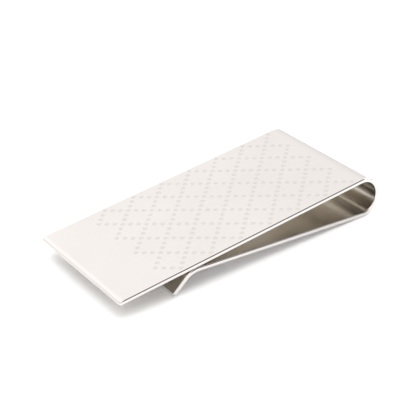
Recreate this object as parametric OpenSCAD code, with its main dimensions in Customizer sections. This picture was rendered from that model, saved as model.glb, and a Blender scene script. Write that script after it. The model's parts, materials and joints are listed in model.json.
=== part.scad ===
// Money clip made from one springy metal strip: a flat front plate with an engraved
// lattice, a round return bend, a straight spring arm, a rounded grip ridge that rests
// under the plate, and a short thumb lip that turns away from it.
// The strip is divided across its width into zones that meet face to face, so that each
// zone can turn a little on the outer face of the strip when the clip is opened.
// It stands on its thumb lip and the underside of its bend, with +X towards the bend.

/* [Strip] */
// Width of the strip, across the clip
strip_width = 25; // [18:0.5:32]
// Thickness of the strip
strip_thickness = 0.8; // [0.5:0.05:1.2]

/* [Front plate] */
// Length of the clip along the plate, from its free end to the outside of the bend
clip_length = 51.8; // [42:0.1:66]
// Plan radius of the plate's two free corners
plate_corner_radius = 0.5; // [0.3:0.1:3]
// Length of the shallow bevel on the plate's free end
bevel_length = 0.8; // [0.3:0.1:1.5]
// Height that this bevel takes off the end
bevel_height = 0.15; // [0.05:0.05:0.3]

/* [Return bend] */
// Inside radius of the bend
bend_inner_radius = 2.85; // [2:0.05:3.6]

/* [Grip ridge and thumb lip] */
// Distance from the plate's free end to the crest of the ridge
ridge_setback = 14.15; // [11:0.05:20]
// Radius of the ridge, on the face towards the plate
ridge_radius = 4; // [3:0.1:6]
// Clearance between the ridge's crest and the plate
ridge_clearance = 0.04; // [0.02:0.01:0.3]
// Angle between the thumb lip and the plate
lip_angle = 36; // [25:1:50]
// Length of the straight part of the lip
lip_length = 3.2; // [2:0.1:4]
// Plan radius of the lip's two corners
lip_corner_radius = 0.5; // [0.3:0.1:1.8]

/* [Engraved lattice] */
// Number of lozenges across the plate
lozenges_across = 4; // [2:1:6]
// Plain border between the lattice and each long edge
lattice_border = 0.9; // [0.7:0.1:4]
// Plain panel between the plate's free end and the lattice
plain_panel = 9.05; // [6:0.05:14]
// Shortest distance left between the lattice and the bend
lattice_end_margin = 1; // [0.5:0.1:4]
// Number of dot spacings along each side of a lozenge
spacings_per_side = 3; // [2:1:4]
// Diameter of each engraved dot
dot_diameter = 0.8; // [0.4:0.05:1]
// Depth of each engraved dot
dot_depth = 0.05; // [0.02:0.01:0.1]

/* [Hidden] */
$fn = 96;
BEND_ZONES = 4;
ARM_ZONES = 4;
CUT_MARGIN = 1;

// Bend: its centre in the plate's own frame, where X runs from the free end of the plate
// towards the bend, Z is square to the plate, and Z = 0 is the plate's engraved face.
bend_outer_radius = bend_inner_radius + strip_thickness;
bend_centre = [clip_length - bend_outer_radius, -bend_outer_radius];

// Ridge: its centre, and the slope of the straight arm that touches both curves.
ridge_centre = [ridge_setback, -strip_thickness - ridge_clearance - ridge_radius];
centres_run = bend_centre.x - ridge_centre.x;
centres_rise = bend_centre.y - ridge_centre.y;
arm_slope = asin((bend_inner_radius + ridge_radius) / norm([centres_run, centres_rise]))
    - atan2(centres_rise, centres_run);

// The arm's inner face runs from the bend to the ridge; its outer face is parallel.
arm_normal = [sin(arm_slope), cos(arm_slope)];
arm_start = bend_centre - bend_inner_radius * arm_normal;
arm_end = ridge_centre + ridge_radius * arm_normal;

// The lip leaves the ridge on a tangent.
lip_direction = [-cos(lip_angle), -sin(lip_angle)];
lip_normal = [-sin(lip_angle), cos(lip_angle)];
lip_start = ridge_centre + ridge_radius * lip_normal;
lip_foot = lip_start + lip_length * lip_direction - strip_thickness * lip_normal;

// Rest: the plate tilts until the foot of the lip and the bend stand on one level.
foot_run = bend_centre.x - lip_foot.x;
foot_rise = bend_centre.y - lip_foot.y;
tilt = asin(bend_outer_radius / norm([foot_run, foot_rise])) - atan2(foot_rise, foot_run);
floor_z = lip_foot.x * sin(tilt) + lip_foot.y * cos(tilt);
front_x = bevel_height * sin(tilt);
back_x = bend_centre.x * cos(tilt) - bend_centre.y * sin(tilt) + bend_outer_radius;

// Lattice: lozenges as long as they are wide, in whole half rows along the plate.
half_lozenge = (strip_width - 2 * lattice_border) / (2 * lozenges_across);
half_rows = floor((bend_centre.x - lattice_end_margin - plain_panel) / half_lozenge);
dot_step = half_lozenge / spacings_per_side;
dot_sphere_radius = (dot_diameter * dot_diameter / 4 + dot_depth * dot_depth) / (2 * dot_depth);

// A direction in the profile, by its angle from the plate's plane.
function ray(angle) = [cos(angle), sin(angle)];

// The bend's zones share its turn equally, from the plate round to the arm.
function bend_angle(zone) = 90 - zone * (180 + arm_slope) / BEND_ZONES;

// The arm's zones share its inner face equally, from the bend to the ridge.
function arm_point(zone) = arm_start + (arm_end - arm_start) * zone / ARM_ZONES;

// Is there a dot at this step along and across the lattice? Dots follow both diagonals.
function has_dot(along, across) =
    (along + across - spacings_per_side) % 2 == 0
    && ((along + across - spacings_per_side) / 2 % spacings_per_side == 0
        || (along - across + spacings_per_side) / 2 % spacings_per_side == 0);

// Place a shape from the plate's frame as the clip stands, centred over its footprint.
module at_rest() {
    translate([-(front_x + back_x) / 2, 0, -floor_z]) rotate([0, -tilt, 0]) children();
}

// Extrude a profile over the full width of the strip.
module across_strip() {
    at_rest() rotate([90, 0, 0]) linear_extrude(strip_width, center = true) children();
}

// Profile of a curved zone between two angles, measured about its centre.
module curved_profile(centre, inner, outer, from, to) {
    reach = 2 * outer;
    translate(centre) intersection() {
        difference() {
            circle(outer);
            circle(inner);
        }
        polygon([[0, 0], reach * ray(from), reach * ray((from + to) / 2), reach * ray(to)]);
    }
}

// Profile of a straight zone: its inner face runs between two points, and the strip's
// thickness lies against the normal.
module straight_profile(start, end, normal) {
    polygon([start, end, end - strip_thickness * normal, start - strip_thickness * normal]);
}

// Plan of a flat end, with its two free corners rounded, reaching back along +X.
module rounded_end_plan(length, corner_radius) {
    half = strip_width / 2;
    for (side = [-1, 1])
        translate([corner_radius, side * (half - corner_radius)]) circle(corner_radius);
    translate([corner_radius, -half]) square([length - corner_radius, strip_width]);
    translate([0, -half + corner_radius])
        square([length, strip_width - 2 * corner_radius]);
}

module bend_zone(zone) {
    across_strip() curved_profile(bend_centre, bend_inner_radius, bend_outer_radius,
                                  bend_angle(zone), bend_angle(zone + 1));
}

module arm_zone(zone) {
    across_strip() straight_profile(arm_point(zone), arm_point(zone + 1), arm_normal);
}

// One shallow engraved dot for every place where the lattice has one.
module lattice_dots() {
    limit = lozenges_across * spacings_per_side;
    for (along = [0 : half_rows * spacings_per_side], across = [-limit : limit])
        if (has_dot(along, across))
            translate([plain_panel + along * dot_step, across * dot_step,
                       dot_sphere_radius - dot_depth])
                sphere(dot_sphere_radius);
}

// Wedge that bevels the plate's free end on its engraved face.
module end_bevel() {
    rotate([90, 0, 0]) linear_extrude(strip_width + 2 * CUT_MARGIN, center = true)
        polygon([[-bevel_length, CUT_MARGIN], [-bevel_length, -2 * bevel_height],
                 [bevel_length, 0], [bevel_length, CUT_MARGIN]]);
}

module front_plate() {
    color("gainsboro") at_rest() difference() {
        translate([0, 0, -strip_thickness]) linear_extrude(strip_thickness)
            rounded_end_plan(bend_centre.x, plate_corner_radius);
        end_bevel();
        lattice_dots();
    }
}

module bend_entry() { color("silver") bend_zone(0); }

module bend_upper() { color("lightgray") bend_zone(1); }

module bend_lower() { color("silver") bend_zone(2); }

module bend_exit() { color("lightgray") bend_zone(3); }

module arm_root() { color("silver") arm_zone(0); }

module arm_rear() { color("lightgray") arm_zone(1); }

module arm_middle() { color("silver") arm_zone(2); }

module arm_front() { color("lightgray") arm_zone(3); }

module grip_ridge() {
    color("gainsboro") across_strip()
        curved_profile(ridge_centre, ridge_radius - strip_thickness, ridge_radius,
                       90 - arm_slope, 90 + lip_angle);
}

module thumb_lip() {
    color("silver") at_rest()
        translate([lip_foot.x, 0, lip_foot.y]) rotate([0, -lip_angle, 0])
            linear_extrude(strip_thickness) rounded_end_plan(lip_length, lip_corner_radius);
}

front_plate();
bend_entry();
bend_upper();
bend_lower();
bend_exit();
arm_root();
arm_rear();
arm_middle();
arm_front();
grip_ridge();
thumb_lip();
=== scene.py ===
import json
import math

import bmesh
import bpy
from mathutils import Matrix, Vector


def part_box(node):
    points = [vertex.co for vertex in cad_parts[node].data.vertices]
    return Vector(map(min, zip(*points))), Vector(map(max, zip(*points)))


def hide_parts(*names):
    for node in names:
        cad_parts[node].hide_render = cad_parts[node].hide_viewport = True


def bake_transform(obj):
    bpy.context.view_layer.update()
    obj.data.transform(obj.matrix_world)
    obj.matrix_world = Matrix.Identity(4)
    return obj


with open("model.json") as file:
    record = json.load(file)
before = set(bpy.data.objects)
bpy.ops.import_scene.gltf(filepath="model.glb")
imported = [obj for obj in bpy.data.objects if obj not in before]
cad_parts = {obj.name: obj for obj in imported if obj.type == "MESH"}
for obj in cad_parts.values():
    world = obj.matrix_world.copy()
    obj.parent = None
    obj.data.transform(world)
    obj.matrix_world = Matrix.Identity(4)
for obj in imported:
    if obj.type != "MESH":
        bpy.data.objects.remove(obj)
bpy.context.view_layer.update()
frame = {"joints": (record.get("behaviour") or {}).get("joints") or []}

# ---------------------------------------------------------------- dimensions, in millimetres
# The strip's driving sizes are those of the CAD model; its width comes from the frame.
MM = 0.001
plate_low, plate_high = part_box("front_plate")
WIDTH = (plate_high.y - plate_low.y) / MM
THICKNESS = 0.8
CLIP_LENGTH = 51.8
PLATE_CORNER = 0.5
BEVEL_LENGTH = 0.8
BEVEL_HEIGHT = 0.15
BEND_INNER = 2.85
RIDGE_SETBACK = 14.15
RIDGE_RADIUS = 4.0
RIDGE_CLEARANCE = 0.04
LIP_ANGLE = math.radians(36)
LIP_LENGTH = 3.2
LIP_CORNER = 0.5
BEND_ZONES = 4
ARM_ZONES = 4

# Engraved lattice
LOZENGES_ACROSS = 4
LATTICE_BORDER = 0.9
PLAIN_PANEL = 9.05
LATTICE_END_MARGIN = 1.0
SPACINGS_PER_SIDE = 3
DOT_DIAMETER = 0.84
DOT_DEPTH = 0.018

# What only the finished surface has: polished, rounded edges
EDGE_RADIUS = 0.3
EDGE_STEPS = 6
BEVEL_SOFTNESS = 0.12

# Mesh steps
ARC_STEP = math.radians(2)
FLAT_STEP = 4.0
CORNER_STEPS = 5
BEVEL_STEPS = 3
PANEL_STEPS = 4
LIP_ROW_STEPS = 6
LIP_CORNER_ROWS = (0.1, 0.2, 0.3)
LIP_MIDDLE_ROWS = 1.6
CELL_STEPS = 4
DOT_RINGS = 6

# How far beyond a hinge the flat plate and the ridge were to take up its turn; bend_with doesn't bend the
# pieces with it
FLAT_BLEND = 2.5
RIDGE_BLEND = 1.2

# ---------------------------------------------------------------- steel's grain, per 100 mm of strip
CLOUD_SCALE = 9.0
SMUDGE_SCALE = 22.0
HAIRLINE_SCALE = 4.0
HAIRLINE_STRETCH = (6.0, 320.0, 1.0)
GRAIN_LOW = 0.12
GRAIN_HIGH = 0.42
STRIP_UV_SPAN = 100

# ---------------------------------------------------------------- studio, in metres
MIDDLE_COLOUR = (1.545, 1.53, 1.515)
SIDE_COLOUR = (0.97, 0.96, 0.955)
HORIZON_TOP = 0.22
HORIZON_COLOUR = (0.84, 0.87, 0.92)
DARK_SIDE = (0.34, -0.60, 0.72)
DARK_FROM = 0.88
DARK_FULL = 0.94
DARK_SIDE_COLOUR = (0.03, 0.028, 0.026)
FLOOR_HALF_WIDTH = 6.0
FLOOR_GLOW = 0.08
FLOOR_LIGHT_AT = (0.28, 0.10, 0.7)
FLOOR_LIGHT_SIZE = 1.3
FLOOR_LIGHT_POWER = 4.5
SIDE_LIGHT_AT = (0.86, -0.10, 0.5)
SIDE_LIGHT_SIZE = 0.5
SIDE_LIGHT_POWER = 3.0
SENSOR_WIDTH = 36.0
CAMERA_LENS = 110.74
CAMERA_AZIMUTH = -32.8986
CAMERA_ELEVATION = 29.8321
CAMERA_ROLL = -3.7615
CAMERA_DISTANCE = 0.214401
CAMERA_AIM = (-0.000345, 0.000776, 0.00446)

# ---------------------------------------------------------------- the strip's profile
# Profile points are (along, up) in the plate's own frame: along from the free end to the
# bend, and up square to the plate, with the engraved face at zero.
BEND_OUTER = BEND_INNER + THICKNESS
bend_centre = Vector((CLIP_LENGTH - BEND_OUTER, -BEND_OUTER))
ridge_centre = Vector((RIDGE_SETBACK, -THICKNESS - RIDGE_CLEARANCE - RIDGE_RADIUS))
between = bend_centre - ridge_centre
ARM_SLOPE = (math.asin((BEND_INNER + RIDGE_RADIUS) / between.length)
             - math.atan2(between.y, between.x))

arm_normal = Vector((math.sin(ARM_SLOPE), math.cos(ARM_SLOPE)))
arm_direction = Vector((-math.cos(ARM_SLOPE), math.sin(ARM_SLOPE)))
arm_start = bend_centre - BEND_OUTER * arm_normal
arm_end = ridge_centre + (RIDGE_RADIUS - THICKNESS) * arm_normal
lip_direction = Vector((-math.cos(LIP_ANGLE), -math.sin(LIP_ANGLE)))
lip_normal = Vector((-math.sin(LIP_ANGLE), math.cos(LIP_ANGLE)))
lip_start = ridge_centre + (RIDGE_RADIUS - THICKNESS) * lip_normal
lip_foot = lip_start + LIP_LENGTH * lip_direction

# The clip stands on the foot of its lip and the underside of its bend.
foot_to_bend = bend_centre - lip_foot
TILT = math.asin(BEND_OUTER / foot_to_bend.length) - math.atan2(foot_to_bend.y, foot_to_bend.x)
row_from_plate = Matrix.Rotation(TILT, 2)
floor_level = (row_from_plate @ lip_foot).y
front_edge = BEVEL_HEIGHT * math.sin(TILT)
back_edge = (row_from_plate @ bend_centre).x + BEND_OUTER
footprint_centre = (front_edge + back_edge) / 2

# Distances along the strip's outer face, from the plate's free end to the tip of the lip.
BEND_TURN = math.pi + ARM_SLOPE
AT_BEND = bend_centre.x
AT_ARM = AT_BEND + BEND_OUTER * BEND_TURN
AT_RIDGE = AT_ARM + (arm_end - arm_start).length
AT_LIP = AT_RIDGE + (RIDGE_RADIUS - THICKNESS) * (ARM_SLOPE + LIP_ANGLE)
AT_TIP = AT_LIP + LIP_LENGTH


def section(s):
    """Where the outer face is at s, the way along the strip, and the way through it."""
    if s <= AT_BEND:
        return Vector((s, 0)), Vector((1, 0)), Vector((0, -1))
    if s <= AT_ARM:
        angle = math.pi / 2 - (s - AT_BEND) / BEND_OUTER
        radial = Vector((math.cos(angle), math.sin(angle)))
        return bend_centre + BEND_OUTER * radial, Vector((radial.y, -radial.x)), -radial
    if s <= AT_RIDGE:
        return arm_start + (s - AT_ARM) * arm_direction, arm_direction, arm_normal
    if s <= AT_LIP:
        angle = math.pi / 2 - ARM_SLOPE + (s - AT_RIDGE) / (RIDGE_RADIUS - THICKNESS)
        radial = Vector((math.cos(angle), math.sin(angle)))
        return ridge_centre + (RIDGE_RADIUS - THICKNESS) * radial, Vector((-radial.y, radial.x)), radial
    return lip_start + (s - AT_LIP) * lip_direction, lip_direction, lip_normal


def place(s, y, depth):
    """A point of the strip in the row frame, in metres."""
    outer, _, through = section(s)
    point = row_from_plate @ (outer + depth * through)
    return Vector((point.x - footprint_centre, y, point.y - floor_level)) * MM


def direction(s, along, across, outward):
    """A direction given in the strip's own axes at s, in the row frame."""
    _, forward, through = section(s)
    flat = row_from_plate @ (along * forward - outward * through)
    return Vector((flat.x, across, flat.y)).normalized()


# ---------------------------------------------------------------- mesh building
POLISHED, ENGRAVED, INNER = 0, 1, 2


class Skin:
    """Points with their true normals, and faces with a material number."""

    def __init__(self):
        self.points, self.normals, self.plan = [], [], []
        self.faces, self.finish, self.flat = [], [], []

    def point(self, s, y, depth, along=0.0, across=0.0, outward=1.0):
        self.points.append(place(s, y, depth))
        self.normals.append(direction(s, along, across, outward))
        self.plan.append((s, y))
        return len(self.points) - 1

    def face(self, corners, finish=POLISHED, flat=False):
        self.faces.append(corners)
        self.finish.append(finish)
        self.flat.append(flat)


def bevel(distance):
    """Depth and slope of the bevelled end, at a distance from the free end, with a soft crest."""
    rise = BEVEL_HEIGHT / BEVEL_LENGTH
    past = distance - BEVEL_LENGTH
    if past >= BEVEL_SOFTNESS:
        return 0.0, 0.0
    if past <= -BEVEL_SOFTNESS:
        return -past * rise, -rise
    short = BEVEL_SOFTNESS - past
    return rise * short * short / (4 * BEVEL_SOFTNESS), -rise * short / (2 * BEVEL_SOFTNESS)


def rounded_corner(inward, y, radius):
    """Moves a point near a corner of the face's plan onto the corner's round, and gives the way out."""
    half = WIDTH / 2 - EDGE_RADIUS
    side = math.copysign(1, y)
    a = (radius - inward) / radius
    b = (abs(y) - half + radius) / radius
    if a <= 0 or b <= 0:
        return inward, y, (1.0, 0.0) if a > 0 else (0.0, side)
    shrink = max(a, b) / math.hypot(a, b)
    away = (a / math.hypot(a, b), side * b / math.hypot(a, b))
    return radius * (1 - a * shrink), side * (half - radius + radius * b * shrink), away


def rim_profile(top):
    """The rounded edge, as (outset, depth, share of the side's normal, share of the face's normal)."""
    steps = [k * math.pi / 2 / EDGE_STEPS for k in range(1, EDGE_STEPS + 1)]
    upper = [(EDGE_RADIUS * math.sin(a), top + EDGE_RADIUS * (1 - math.cos(a)), math.sin(a), math.cos(a))
             for a in steps]
    lower = [(EDGE_RADIUS * math.sin(a), THICKNESS - EDGE_RADIUS * (1 - math.cos(a)),
              math.sin(a), -math.cos(a)) for a in reversed(steps)]
    return upper + lower + [(0.0, THICKNESS, 0.0, -1.0)]


def strip_skin(lines, rows, free_end=None, corner=0.0, end_bevel=False, dots=None):
    """A closed length of the strip. lines are distances along it, rows are places across it.
    free_end is None, "start" or "end", and that end is rounded in plan and all round its edge."""
    skin = Skin()
    reach = corner - EDGE_RADIUS
    last, edge = len(lines) - 1, len(rows) - 1
    end_line = {"start": 0, "end": last}.get(free_end)
    sign = -1.0 if free_end == "start" else 1.0

    def top_point(i, j):
        s, y, away = lines[i], rows[j], (0.0, math.copysign(1, rows[j]))
        depth, slope = 0.0, 0.0
        if free_end:
            inward, y, away = rounded_corner(abs(s - lines[end_line]), y, reach)
            s = lines[end_line] - sign * inward
            away = (sign * away[0], away[1])
            if end_bevel:
                depth, slope = bevel(inward + EDGE_RADIUS)
        return s, y, depth, slope, away

    grid = [[None] * len(rows) for _ in lines]
    for i in range(len(lines)):
        for j in range(len(rows)):
            s, y, depth, slope, _ = top_point(i, j)
            grid[i][j] = skin.point(s, y, depth, along=-sign * slope)

    taken = dots(skin, lines, rows, grid) if dots else set()
    for i in range(last):
        for j in range(edge):
            if (i, j) not in taken:
                skin.face([grid[i][j], grid[i + 1][j], grid[i + 1][j + 1], grid[i][j + 1]])

    def rim(i, j):
        """The points down the edge from one point on the border of the outer face."""
        s, y, depth, slope, away = top_point(i, j)
        column = [grid[i][j]]
        for outset, deep, side, face in rim_profile(depth):
            along = side * away[0] - sign * slope * max(face, 0.0)
            column.append(skin.point(s + outset * away[0], y + outset * away[1], deep,
                                     along, side * away[1], face))
        return column

    left = [(i, 0) for i in range(last + 1)]
    right = [(i, edge) for i in range(last + 1)]
    if free_end:
        across = [(end_line, j) for j in range(edge + 1)]
        inner_left = [p for p in left if p[0] != end_line]
        inner_right = [p for p in right if p[0] != end_line]
        if free_end == "start":
            borders = [inner_left[::-1] + across + inner_right]
        else:
            borders = [inner_left + across + inner_right[::-1]]
    else:
        borders = [left, right]
    columns = {p: rim(*p) for border in borders for p in border}
    for border in borders:
        for p, q in zip(border, border[1:]):
            for a, b, c, d in zip(columns[p], columns[q], columns[q][1:], columns[p][1:]):
                skin.face([a, b, c, d])

    # The inner face: strips from edge to edge, and one face inside a rounded end.
    under = {p: column[-1] for p, column in columns.items()}
    first_strip, last_strip = 0, last
    if free_end:
        rounded = [i for i in range(last + 1) if abs(lines[i] - lines[end_line]) <= reach + 0.001]
        ends_at = max(rounded) if free_end == "start" else min(rounded)
        if free_end == "start":
            first_strip = ends_at
            sides = range(1, ends_at + 1)
        else:
            last_strip = ends_at
            sides = range(last - 1, ends_at - 1, -1)
        ring = [under[(end_line, j)] for j in range(edge + 1)]
        ring += [under[(i, edge)] for i in sides] + [under[(i, 0)] for i in reversed(sides)]
        skin.face(ring, finish=INNER)
    for i in range(first_strip, last_strip):
        skin.face([under[(i, 0)], under[(i + 1, 0)], under[(i + 1, edge)], under[(i, edge)]],
                  finish=INNER)

    # Flat ends where the next length of strip takes over.
    for i in {0, last} - {end_line}:
        ring = [grid[i][j] for j in range(edge + 1)] + columns[(i, edge)][1:]
        skin.face(ring + columns[(i, 0)][:0:-1], flat=True)
    return skin


def steps_between(start, end, count):
    return [start + (end - start) * k / count for k in range(count)] + [end]


def arc_lines(start, end, radius):
    return steps_between(start, end, max(1, math.ceil((end - start) / radius / ARC_STEP)))


def lines_between(start, end):
    """Distances along the strip from start to end: close together on the curves, wide on the flats."""
    marks = [(AT_BEND, None), (AT_ARM, BEND_OUTER), (AT_RIDGE, None),
             (AT_LIP, RIDGE_RADIUS - THICKNESS), (AT_TIP, None)]
    lines, begin = [start], start
    for mark, radius in marks:
        stop = min(mark, end)
        if stop > begin:
            if radius:
                lines += arc_lines(begin, stop, radius)[1:]
            else:
                lines += steps_between(begin, stop, max(1, math.ceil((stop - begin) / FLAT_STEP)))[1:]
            begin = stop
    return lines


# ---------------------------------------------------------------- engraved lattice
half_lozenge = (WIDTH - 2 * LATTICE_BORDER) / (2 * LOZENGES_ACROSS)
half_rows = math.floor((AT_BEND - LATTICE_END_MARGIN - PLAIN_PANEL) / half_lozenge)
dot_step = half_lozenge / SPACINGS_PER_SIDE
dots_along = half_rows * SPACINGS_PER_SIDE
dots_across = LOZENGES_ACROSS * SPACINGS_PER_SIDE
cell = dot_step / CELL_STEPS


def has_dot(along, across):
    """Dots follow both diagonals of the lozenges."""
    first, second = along + across - SPACINGS_PER_SIDE, along - across + SPACINGS_PER_SIDE
    on_diagonal = first // 2 % SPACINGS_PER_SIDE == 0 or second // 2 % SPACINGS_PER_SIDE == 0
    return first % 2 == 0 and on_diagonal


def lattice_dots(skin, lines, rows, grid):
    """Fills the lattice's square cells, with a shallow dot where the lattice has one."""
    first_line = min(range(len(lines)), key=lambda i: abs(lines[i] - (PLAIN_PANEL - dot_step / 2)))
    first_row = min(range(len(rows)), key=lambda j: abs(rows[j] + (dots_across + 0.5) * dot_step))
    taken = set()
    for along in range(dots_along + 1):
        for across in range(-dots_across, dots_across + 1):
            i = first_line + along * CELL_STEPS
            j = first_row + (across + dots_across) * CELL_STEPS
            taken |= {(i + a, j + b) for a in range(CELL_STEPS) for b in range(CELL_STEPS)}
            border = [grid[i + k][j] for k in range(CELL_STEPS)]
            border += [grid[i + CELL_STEPS][j + k] for k in range(CELL_STEPS)]
            border += [grid[i + CELL_STEPS - k][j + CELL_STEPS] for k in range(CELL_STEPS)]
            border += [grid[i][j + CELL_STEPS - k] for k in range(CELL_STEPS)]
            if has_dot(along, across):
                engrave_dot(skin, border, PLAIN_PANEL + along * dot_step, across * dot_step)
            else:
                skin.face(border)
    return taken


def engrave_dot(skin, border, s, y):
    """One round, shallow dot inside the border of its cell, soft at its rim and its floor."""
    count = len(border)
    radius = DOT_DIAMETER / 2
    outer = border
    for ring in range(DOT_RINGS):
        share = 1 - ring / DOT_RINGS
        depth = DOT_DEPTH * (1 + math.cos(math.pi * share)) / 2
        slope = DOT_DEPTH * math.pi / (2 * radius) * math.sin(math.pi * share)
        inner = []
        for k in range(count):
            angle = -3 * math.pi / 4 + 2 * math.pi * k / count
            c, n = math.cos(angle), math.sin(angle)
            inner.append(skin.point(s + share * radius * c, y + share * radius * n, depth,
                                    -slope * c, -slope * n))
        for k in range(count):
            skin.face([outer[k], outer[(k + 1) % count], inner[(k + 1) % count], inner[k]],
                      finish=ENGRAVED if ring else POLISHED)
        outer = inner
    floor = skin.point(s, y, DOT_DEPTH)
    for k in range(count):
        skin.face([outer[k], outer[(k + 1) % count], floor], finish=ENGRAVED)


# ---------------------------------------------------------------- materials
def principled(name):
    material = bpy.data.materials.new(name)
    material.use_nodes = True
    tree = material.node_tree
    return material, tree.nodes, tree.links, tree.nodes["Principled BSDF"]


def node(nodes, kind, **settings):
    made = nodes.new(kind)
    for key, value in settings.items():
        if key in made.inputs:
            made.inputs[key].default_value = value
        else:
            setattr(made, key, value)
    return made


def mix_colour(nodes, links, factor, first, second):
    mixed = nodes.new("ShaderNodeMix")
    mixed.data_type = "RGBA"
    for name, colour in (("A", first), ("B", second)):
        if isinstance(colour, bpy.types.NodeSocket):
            links.new(colour, mixed.inputs[name])
        else:
            mixed.inputs[name].default_value = (*colour, 1)
    links.new(factor, mixed.inputs["Factor"])
    return mixed.outputs["Result"]


def map_range(nodes, links, value, low, high, to_low, to_high):
    ranged = nodes.new("ShaderNodeMapRange")
    for name, number in (("From Min", low), ("From Max", high), ("To Min", to_low), ("To Max", to_high)):
        ranged.inputs[name].default_value = number
    links.new(value, ranged.inputs["Value"])
    return ranged.outputs["Result"]


def polished_metal(name, light, dark, roughness_low, roughness_high, scratch_depth):
    """Polished steel: faint clouding of the colour, and fine hairlines along the strip."""
    material, nodes, links, shader = principled(name)
    shader.inputs["Metallic"].default_value = 1.0
    place_on_strip = node(nodes, "ShaderNodeUVMap", uv_map="strip")

    clouds = node(nodes, "ShaderNodeTexNoise", Scale=CLOUD_SCALE, Detail=4.0, Roughness=0.55)
    links.new(place_on_strip.outputs["UV"], clouds.inputs["Vector"])
    links.new(mix_colour(nodes, links, clouds.outputs["Fac"], light, dark), shader.inputs["Base Color"])

    stretch = node(nodes, "ShaderNodeMapping", Scale=HAIRLINE_STRETCH)
    links.new(place_on_strip.outputs["UV"], stretch.inputs["Vector"])
    hairlines = node(nodes, "ShaderNodeTexNoise", Scale=HAIRLINE_SCALE, Detail=6.0, Roughness=0.7)
    links.new(stretch.outputs["Vector"], hairlines.inputs["Vector"])
    smudges = node(nodes, "ShaderNodeTexNoise", Scale=SMUDGE_SCALE, Detail=5.0, Roughness=0.6)
    links.new(place_on_strip.outputs["UV"], smudges.inputs["Vector"])
    both = node(nodes, "ShaderNodeMath", operation="MULTIPLY")
    links.new(hairlines.outputs["Fac"], both.inputs[0])
    links.new(smudges.outputs["Fac"], both.inputs[1])
    links.new(map_range(nodes, links, both.outputs["Value"], GRAIN_LOW, GRAIN_HIGH,
                        roughness_low, roughness_high),
              shader.inputs["Roughness"])

    bump = node(nodes, "ShaderNodeBump", Strength=1.0, Distance=scratch_depth * MM)
    links.new(hairlines.outputs["Fac"], bump.inputs["Height"])
    links.new(bump.outputs["Normal"], shader.inputs["Normal"])
    return material


FINISHES = [
    polished_metal("polished_steel", (0.70, 0.668, 0.648), (0.64, 0.61, 0.592), 0.06, 0.14, 0.0006),
    polished_metal("engraved_steel", (0.635, 0.605, 0.585), (0.59, 0.563, 0.543), 0.38, 0.5, 0.002),
    # The inner faces' steel has a rougher finish, and a darker, browner colour than the outer steel: that
    # colour is painted shade for the inside of the clip, where the strip keeps the light out.
    polished_metal("inner_steel_painted_shade", (0.67, 0.63, 0.575), (0.60, 0.565, 0.51), 0.18, 0.27, 0.0015),
]


# ---------------------------------------------------------------- pieces
def make_piece(name, skin):
    """The mesh of one length of strip, with its true normals and its place on the strip as a UV map."""
    mesh = bpy.data.meshes.new(name)
    mesh.from_pydata(skin.points, [], skin.faces)
    for finish in FINISHES:
        mesh.materials.append(finish)
    for polygon, finish in zip(mesh.polygons, skin.finish):
        polygon.material_index = finish
        polygon.use_smooth = True
    shape = bmesh.new()
    shape.from_mesh(mesh)
    bmesh.ops.recalc_face_normals(shape, faces=shape.faces)
    shape.to_mesh(mesh)
    shape.free()
    uv = mesh.uv_layers.new(name="strip")
    normals = []
    for polygon, flat in zip(mesh.polygons, skin.flat):
        for loop in polygon.loop_indices:
            vertex = mesh.loops[loop].vertex_index
            s, y = skin.plan[vertex]
            uv.data[loop].uv = (s / STRIP_UV_SPAN, y / STRIP_UV_SPAN + 0.5)
            normals.append(tuple(polygon.normal if flat else skin.normals[vertex]))
    mesh.normals_split_custom_set(normals)
    piece = bpy.data.objects.new(name, mesh)
    bpy.context.scene.collection.objects.link(piece)
    return piece


def bend_with(piece, joint, start, end):
    """Measures start and end, where the next piece joins, along the joint's axis but doesn't use the result:
    the piece only has its place baked into its mesh and doesn't follow the joint.
    """
    at = Vector(joint["pos_m"])
    along = direction(joint["at"], 1, 0, 0)

    def reach(where, pick):
        return pick((place(where, 0, depth) - at).dot(along) for depth in (0.0, THICKNESS))

    at + along * reach(start, max)
    at + along * reach(end, min)
    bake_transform(piece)


bend_marks = steps_between(AT_BEND, AT_ARM, BEND_ZONES)
arm_marks = steps_between(AT_ARM, AT_RIDGE, ARM_ZONES)
marks = bend_marks + arm_marks[1:]
middles = [(a + b) / 2 for a, b in zip(marks, marks[1:])]
joints = frame["joints"]

half = WIDTH / 2 - EDGE_RADIUS
narrow_rows = [-half, half]
lattice_low = PLAIN_PANEL - dot_step / 2
lattice_rows = [(k - (dots_across + 0.5) * CELL_STEPS) * cell
                for k in range((2 * dots_across + 1) * CELL_STEPS + 1)]
plate_rows = [-half] + lattice_rows + [half]
lattice_lines = [lattice_low + k * cell for k in range((dots_along + 1) * CELL_STEPS + 1)]
corner_lines = steps_between(EDGE_RADIUS, PLATE_CORNER, CORNER_STEPS)
bevel_lines = steps_between(PLATE_CORNER, BEVEL_LENGTH + BEVEL_SOFTNESS, BEVEL_STEPS)[1:]
panel_lines = steps_between(bevel_lines[-1], lattice_low, PANEL_STEPS)[1:-1]
plate_lines = corner_lines + bevel_lines + panel_lines + lattice_lines
plate_lines += lines_between(lattice_lines[-1], middles[0])[1:]
lip_lines = lines_between(middles[-1], AT_TIP - LIP_CORNER) + steps_between(
    AT_TIP - LIP_CORNER, AT_TIP - EDGE_RADIUS, CORNER_STEPS)[1:]
lip_rows = ([-half] + [-half + inset for inset in LIP_CORNER_ROWS]
            + steps_between(-half + LIP_MIDDLE_ROWS, half - LIP_MIDDLE_ROWS, LIP_ROW_STEPS)
            + [half - inset for inset in reversed(LIP_CORNER_ROWS)] + [half])

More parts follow.
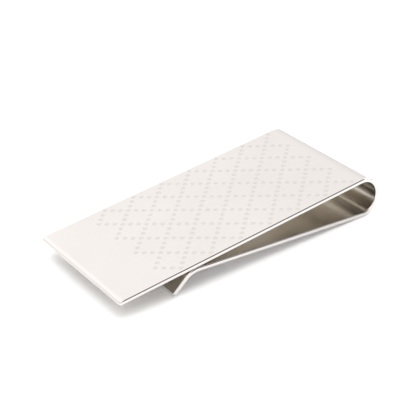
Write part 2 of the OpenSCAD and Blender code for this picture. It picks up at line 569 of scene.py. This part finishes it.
SKINS = [("engraved_plate", ["front_plate"]),
         ("bend_skin_1", ["bend_entry"]),
         ("bend_skin_2", ["bend_upper"]),
         ("bend_skin_3", ["bend_lower"]),
         ("bend_to_arm_skin", ["bend_exit"]),
         ("arm_skin_1", ["arm_root"]),
         ("arm_skin_2", ["arm_rear"]),
         ("arm_skin_3", ["arm_middle"]),
         ("ridge_and_lip", ["arm_front", "grip_ridge", "thumb_lip"])]

for number, (name, nodes_replaced) in enumerate(SKINS):
    joint = dict(joints[number], at=marks[number])
    if number == 0:
        skin = strip_skin(plate_lines, plate_rows, "start", PLATE_CORNER, True, lattice_dots)
        blend_from, blend_to = AT_BEND - FLAT_BLEND, middles[0]
    elif number == len(SKINS) - 1:
        skin = strip_skin(lip_lines, lip_rows, "end", LIP_CORNER)
        blend_from, blend_to = middles[-1], AT_RIDGE + RIDGE_BLEND
    else:
        skin = strip_skin(lines_between(middles[number - 1], middles[number]), narrow_rows)
        blend_from, blend_to = middles[number - 1], middles[number]
    piece = make_piece(name, skin)
    bend_with(piece, joint, blend_from, blend_to)
    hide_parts(*nodes_replaced)


# ---------------------------------------------------------------- studio
def make_floor():
    """A plain pale floor that stays level far beyond the view."""
    size = FLOOR_HALF_WIDTH
    mesh = bpy.data.meshes.new("floor")
    corners = [(-size, -size, 0), (size, -size, 0), (size, size, 0), (-size, size, 0)]
    mesh.from_pydata(corners, [], [(0, 1, 2, 3)])
    floor = bpy.data.objects.new("floor", mesh)
    bpy.context.scene.collection.objects.link(floor)
    material, nodes, links, shader = principled("floor_paper")
    shader.inputs["Roughness"].default_value = 0.9
    shader.inputs["Specular IOR Level"].default_value = 0.1
    grain = node(nodes, "ShaderNodeTexNoise", Scale=60.0, Detail=3.0)
    spot = node(nodes, "ShaderNodeTexCoord")
    links.new(spot.outputs["Object"], grain.inputs["Vector"])
    links.new(mix_colour(nodes, links, grain.outputs["Fac"], (0.93, 0.93, 0.93), (0.90, 0.90, 0.90)),
              shader.inputs["Base Color"])
    shader.inputs["Emission Color"].default_value = (1, 1, 1, 1)
    shader.inputs["Emission Strength"].default_value = FLOOR_GLOW
    mesh.materials.append(material)


def make_world():
    """Soft white light from all round, with one soft dark patch high in front of the object."""
    world = bpy.data.worlds.new("studio")
    bpy.context.scene.world = world
    world.use_nodes = True
    nodes, links = world.node_tree.nodes, world.node_tree.links
    background = nodes["Background"]
    way = node(nodes, "ShaderNodeTexCoord").outputs["Generated"]

    def toward(direction):
        product = node(nodes, "ShaderNodeVectorMath", operation="DOT_PRODUCT")
        product.inputs[1].default_value = Vector(direction).normalized()
        links.new(way, product.inputs[0])
        return product.outputs["Value"]

    sideways = node(nodes, "ShaderNodeMath", operation="ABSOLUTE")
    links.new(toward((1, 0, 0)), sideways.inputs[0])
    white = mix_colour(nodes, links, sideways.outputs["Value"], MIDDLE_COLOUR, SIDE_COLOUR)
    low = map_range(nodes, links, toward((0, 0, 1)), 0.0, HORIZON_TOP, 1.0, 0.0)
    with_horizon = mix_colour(nodes, links, low, white, HORIZON_COLOUR)
    shade = map_range(nodes, links, toward(DARK_SIDE), DARK_FROM, DARK_FULL, 0.0, 1.0)
    links.new(mix_colour(nodes, links, shade, with_horizon, DARK_SIDE_COLOUR), background.inputs["Color"])
    background.inputs["Strength"].default_value = 1.0


def make_light(name, location, size, power, in_reflections=True):
    """A round soft lamp aimed at the origin."""
    light = bpy.data.lights.new(name, "AREA")
    light.shape = "DISK"
    light.size = size
    light.energy = power
    lamp = bpy.data.objects.new(name, light)
    lamp.location = location
    lamp.visible_glossy = in_reflections
    lamp.rotation_euler = (-Vector(location)).to_track_quat("-Z", "Y").to_euler()
    bpy.context.scene.collection.objects.link(lamp)


def make_camera():
    """The camera looks down on the plate from in front and to the left, rolled a little."""
    data = bpy.data.cameras.new("camera")
    data.sensor_width = SENSOR_WIDTH
    data.lens = CAMERA_LENS
    data.clip_start, data.clip_end = 0.01, 20.0
    camera = bpy.data.objects.new("camera", data)
    azimuth, elevation = math.radians(CAMERA_AZIMUTH), math.radians(CAMERA_ELEVATION)
    back = Vector((math.sin(azimuth) * math.cos(elevation), -math.cos(azimuth) * math.cos(elevation),
                   math.sin(elevation)))
    camera.location = Vector(CAMERA_AIM) + back * CAMERA_DISTANCE
    look = (-back).to_track_quat("-Z", "Y")
    camera.rotation_mode = "QUATERNION"
    camera.rotation_quaternion = look @ Matrix.Rotation(math.radians(CAMERA_ROLL), 3, "Z").to_quaternion()
    bpy.context.scene.collection.objects.link(camera)
    bpy.context.scene.camera = camera


make_floor()
make_world()
make_light("floor_light", FLOOR_LIGHT_AT, FLOOR_LIGHT_SIZE, FLOOR_LIGHT_POWER, in_reflections=False)
make_light("side_light", SIDE_LIGHT_AT, SIDE_LIGHT_SIZE, SIDE_LIGHT_POWER)
make_camera()
bpy.context.scene.view_settings.view_transform = "Standard"
